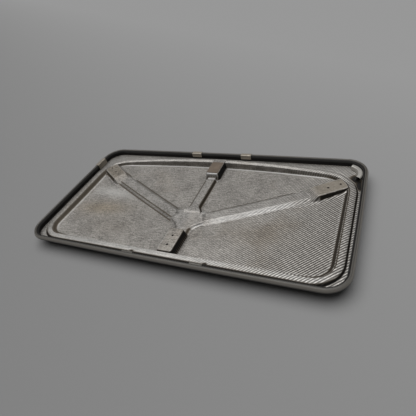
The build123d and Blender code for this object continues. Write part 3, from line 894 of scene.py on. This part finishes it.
def build_rear_arm():
    """Middle rib and rear pad."""
    xs = spaced(-36, 36, 1.1)
    ys = spaced(-30, 206, 1.5)

    def forms(x, y):
        pad_d = box_distance(x, y - REAR_PAD_Y, PAD_HALF_WIDTH, PAD_HALF_LENGTH, 6.0)
        half = 11.0 + 14.0 * smooth((2.0 - y) / 26.0)
        return pad_d, half - np.abs(x)

    def height(x, y):
        base = floor_z(x, y)
        pad_d, arm_d = forms(x, y)
        arm = flank(arm_d, 6.0, 6.4) + 2.4 * smooth((y + 29) / 8) * smooth((arm_d + 5) / 5)
        pad = flank(pad_d, 5.0, CREST_Z - base)
        top = soft_max(arm, pad, 3.0)
        spread = np.maximum(arm_d + 11.0, pad_d + 7.0)
        z = on_floor(base, top, spread, 0.9)
        return np.minimum(z, CREST_Z + 0.15)

    def keep(x, y):
        pad_d, arm_d = forms(x, y)
        return (np.maximum(arm_d + 13.0, pad_d + 9.0) > 0) & ((y < 190) | (pad_d > -5.5))

    def marks(x, y, slope_x, slope_y):
        pad_d, arm_d = forms(x, y)
        on_arm = smooth(-(pad_d + 5.0) / 3.0) * smooth((y + 22) / 6)
        steep = smooth((np.hypot(slope_x, slope_y) - 1.2) / 1.0)
        front_wall = (y < 138) & (np.abs(x) < 19)
        # Painted shade on the steep walls, the rib's right slope and a line along its left edge.
        rows = np.sin(x * 1.15) * np.sin(y * 1.3)
        wall = steep * np.where(front_wall, 0.9 + 0.9 * rows, np.where(x > 0, 2.0, 0.8))
        slope = (1.5 + 0.35 * np.sin(y * 1.1)) * near(arm_d, -3.5, 3.6) * (x > 0) * on_arm
        line = 1.5 * near(arm_d, -9.4, 1.9) * (x < 0) * on_arm
        # Painted highlight lines along the pad's front edge and its foot.
        edge = (near(y, 132.0, 1.8) + near(y, 123.5, 2.0)) * (np.abs(x) < 20) * (pad_d < 3)
        return np.maximum.reduce([wall, slope, line]) * (1 - edge), edge

    verts, faces, painted = grid_mesh(xs, ys, height, keep, marks)
    make_brace("rear_brace_arm_visual", verts, faces, painted, "rear_brace_arm")


# ---------------------------------------------------------------- clips
def strip(name, node, section, placer, width, count=10, material=None):
    """Bent strip: a 2-D section of (inset, z) points carried along the edge by placer."""
    path = round_profile(section, [1.6] * len(section), 4)
    along = np.gradient(path, axis=0)
    along /= np.linalg.norm(along, axis=1)[:, None]
    side = np.column_stack([-along[:, 1], along[:, 0]])
    over = path + side * CLIP_SHEET
    loop = np.vstack([path, over[::-1]])
    stations = np.linspace(-width / 2, width / 2, count)
    rings = []
    for s in stations:
        rings.append(np.array([placer(inset, s, z) for inset, z in loop]))
    n = len(loop)
    verts = np.vstack(rings)
    faces = []
    for i in range(count - 1):
        for j in range(n):
            k = (j + 1) % n
            faces.append((i * n + j, i * n + k, (i + 1) * n + k, (i + 1) * n + j))
    faces.append(tuple(range(n))[::-1])
    faces.append(tuple((count - 1) * n + j for j in range(n)))
    obj = make_object(name, verts, faces, material or clip_material, [node], shade=False)
    bevel = obj.modifiers.new("edge", "BEVEL")
    bevel.width = 0.25 * MM
    bevel.segments = 2
    bevel.limit_method = "ANGLE"


def rear_placer(x0):
    def place(inset, s, z):
        x = x0 + s
        return (x, HALF_WIDTH - EDGE_BOW * (x / HALF_LENGTH) ** 2 - inset, z)
    return place


def front_placer(x0):
    def place(inset, s, z):
        x = x0 - s
        return (x, -HALF_WIDTH + EDGE_BOW * (x / HALF_LENGTH) ** 2 + inset, z)
    return place


def left_placer(y0):
    def place(inset, s, z):
        y = y0 + s
        return (-HALF_LENGTH + END_BOW * (y / HALF_WIDTH) ** 2 + inset, y, z)
    return place


def corner_placer(inset, s, z):
    centre_x = HALF_LENGTH - END_BOW - CORNER_RADIUS
    centre_y = HALF_WIDTH - EDGE_BOW - CORNER_RADIUS
    angle = math.radians(20.0 + s)
    radius = CORNER_RADIUS - inset
    return (centre_x + radius * math.cos(angle), centre_y + radius * math.sin(angle), z)


def build_clips():
    """Spring clips, each a bent strip."""
    over_rim = [(1.4, 39.9), (1.8, 42.1), (13.2, 42.1), (13.8, 29.6)]
    on_seal = [(8.4, 40.3), (13.2, 40.3), (13.8, 29.6)]
    over_side = [(1.4, 39.9), (1.8, 42.1), (13.2, 42.1), (13.8, 24.0)]
    strip("rear_left_clip_visual", "rear_left_clip", over_rim, rear_placer(-83), 32)
    strip("rear_right_clip_visual", "rear_right_clip", over_rim, rear_placer(83), 32)
    for side, x in (("left", -83), ("right", 104)):
        node = f"front_{side}_clip"
        strip(f"{node}_visual", node, on_seal, front_placer(x), 32, material=shaded_clip_material)
    strip("left_side_clip_visual", "left_side_clip", over_side, left_placer(138), 42)
    curved = [(13.2, 31.0), (15.0, 33.6), (24.0, 34.0), (25.5, 24.0)]
    node = "right_corner_clip"
    strip("right_corner_clip_visual", node, curved, corner_placer, 96, 30, lit_clip_material)


build_skin()
build_panel()
build_seal()
build_corner_arm(1, "right_brace_arm_visual", "right_brace_arm")
build_corner_arm(-1, "left_brace_arm_visual", "left_brace_arm")
build_hub()
build_rear_arm()
build_clips()

for node, material in (
    ("front_nut_plate", hole_shade_material),
    ("left_nut_plate", hole_shade_material),
    ("right_nut_plate", hole_shade_material),
    ("rear_rest_pad", pad_material),
    ("anti_flutter_mastic", mastic_material),
    ("hem_adhesive", adhesive_material),
):
    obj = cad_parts[node]
    for slot_index in range(len(obj.material_slots)):
        obj.material_slots[slot_index].material = material


# ---------------------------------------------------------------- floor, light and camera
def build_floor():
    """Large plain floor, a little lighter towards the back."""
    mesh = bpy.data.meshes.new("floor")
    reach = 60.0
    corners = [(-reach, -reach, 0), (reach, -reach, 0), (reach, reach, 0), (-reach, reach, 0)]
    mesh.from_pydata(corners, [], [(0, 1, 2, 3)])
    obj = bpy.data.objects.new("floor", mesh)
    scene.collection.objects.link(obj)
    material, shader = new_material("floor_paper")
    net = Net(material)
    along = net.add("ShaderNodeSeparateXYZ")
    net.link(net.mapped(rotation=34.0), along.inputs[0])
    place = net.math("ADD", net.math("MULTIPLY", along.outputs[1], 0.5), 0.5, True)
    greys = [(0.0, (0.245, 0.245, 0.245)), (0.45, (0.303, 0.303, 0.303)), (1.0, (0.385, 0.385, 0.385))]
    tone = net.ramp(place, greys)
    net.link(tone, shader.inputs["Base Color"])
    shader.inputs["Roughness"].default_value = 0.9
    shader.inputs["Specular IOR Level"].default_value = 0.1
    mesh.materials.append(material)


def sun(name, towards, strength, spread, colour=(1, 1, 1)):
    """Distant soft light that comes from the direction given."""
    data = bpy.data.lights.new(name, "SUN")
    data.energy = strength
    data.angle = math.radians(spread)
    data.color = colour
    obj = bpy.data.objects.new(name, data)
    obj.rotation_euler = Vector(towards).to_track_quat("Z", "Y").to_euler()
    scene.collection.objects.link(obj)


build_floor()
sun("overhead", (-0.14, 0.08, 1.0), 2.35, 72)

world = bpy.data.worlds.new("studio")
world.use_nodes = True
world.node_tree.nodes["Background"].inputs[0].default_value = (1, 1, 1, 1)
world.node_tree.nodes["Background"].inputs[1].default_value = 0.07
scene.world = world
scene.view_settings.view_transform = "Standard"

camera_data = bpy.data.cameras.new("camera")
camera_data.lens = 31.394
camera_data.sensor_width = 36.0
camera_data.clip_start = 0.01
camera = bpy.data.objects.new("camera", camera_data)
camera.location = (0.4494, -0.6593, 0.632)
camera.rotation_euler = Euler([math.radians(a) for a in (50.382, 11.55, 22.503)], "XYZ")
scene.collection.objects.link(camera)
scene.camera = camera

bpy.context.view_layer.update()
